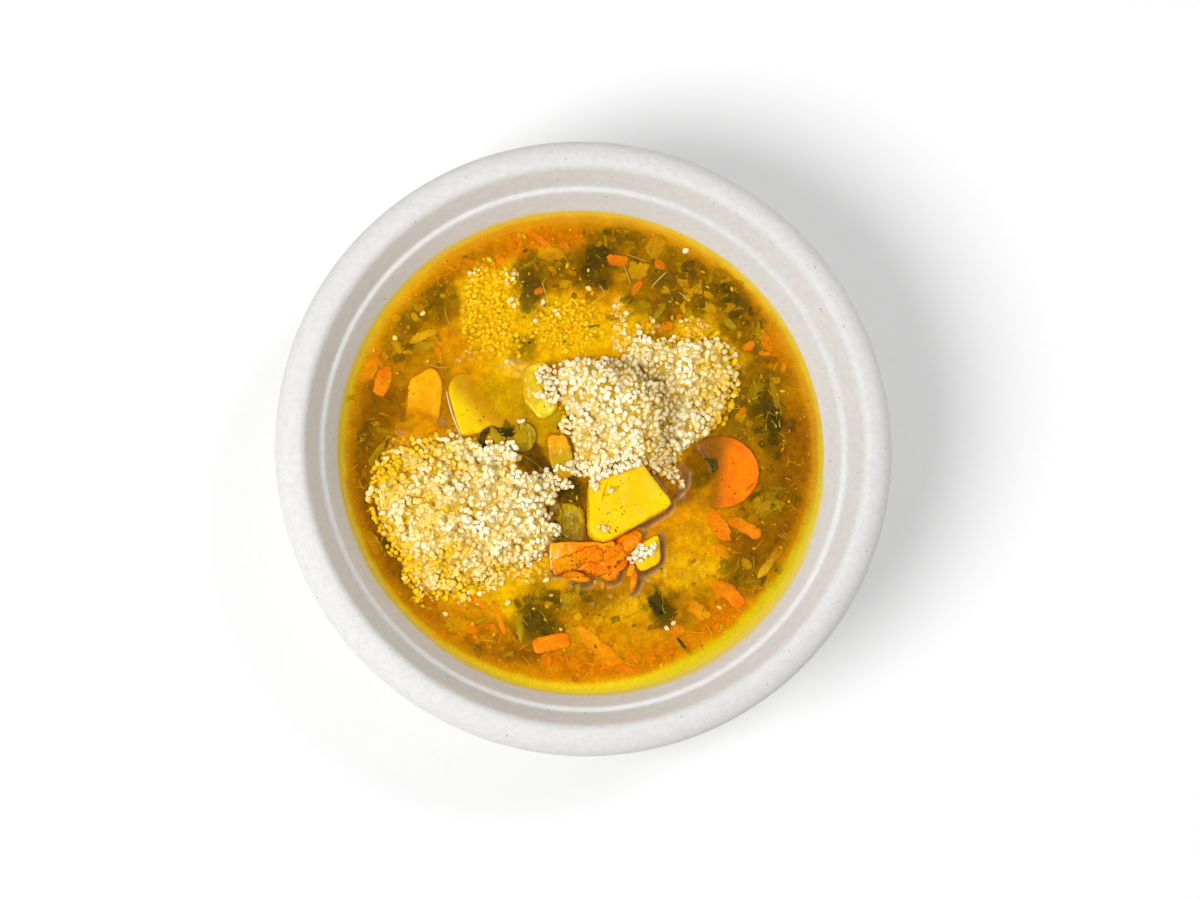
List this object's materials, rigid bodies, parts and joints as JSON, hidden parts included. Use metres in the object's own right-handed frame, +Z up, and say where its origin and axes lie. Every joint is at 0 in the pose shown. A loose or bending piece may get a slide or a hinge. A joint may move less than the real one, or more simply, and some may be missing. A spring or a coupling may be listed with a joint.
{
  "type": "bowl of couscous soup",
  "caption": "Round moulded-fibre bowl with a rolled rim and stacking ledge, filled with golden vegetable broth, heaps of couscous, potato, carrot and celery.",
  "frame": {"origin": "on the table, under the middle of the bowl", "axes": "+Z up out of the bowl; +X to the right and +Y to the top of the picture"},
  "size_m": [0.198, 0.198, 0.058],
  "materials": {
    "fibre": "matt moulded plant fibre",
    "broth": "glossy cloudy liquid",
    "couscous": "soft swollen grains",
    "potato": "wet cut face",
    "squash": "wet cut face",
    "carrot": "wet cut face",
    "celery": "wet stalk",
    "leaf": "wet leaf"
  },
  "bodies": {
    "root": {"bowl": "fibre", "bowl_rim": "fibre", "broth": "broth", "couscous_heap_left": "couscous", "couscous_heap_right": "couscous", "potato_large": "potato", "potato_small": "potato", "potato_slab": "potato", "potato_mid": "squash", "squash_chunk": "squash", "carrot_torn": "carrot", "carrot_knob": "carrot", "carrot_ball": "carrot", "carrot_lip": "carrot", "carrot_spur": "carrot", "carrot_slice": "carrot", "celery_mid": "celery", "celery_ring": "celery", "celery_chunk": "celery", "celery_curl": "leaf", "herb_leaf": "leaf"}
  },
  "joints": []
}
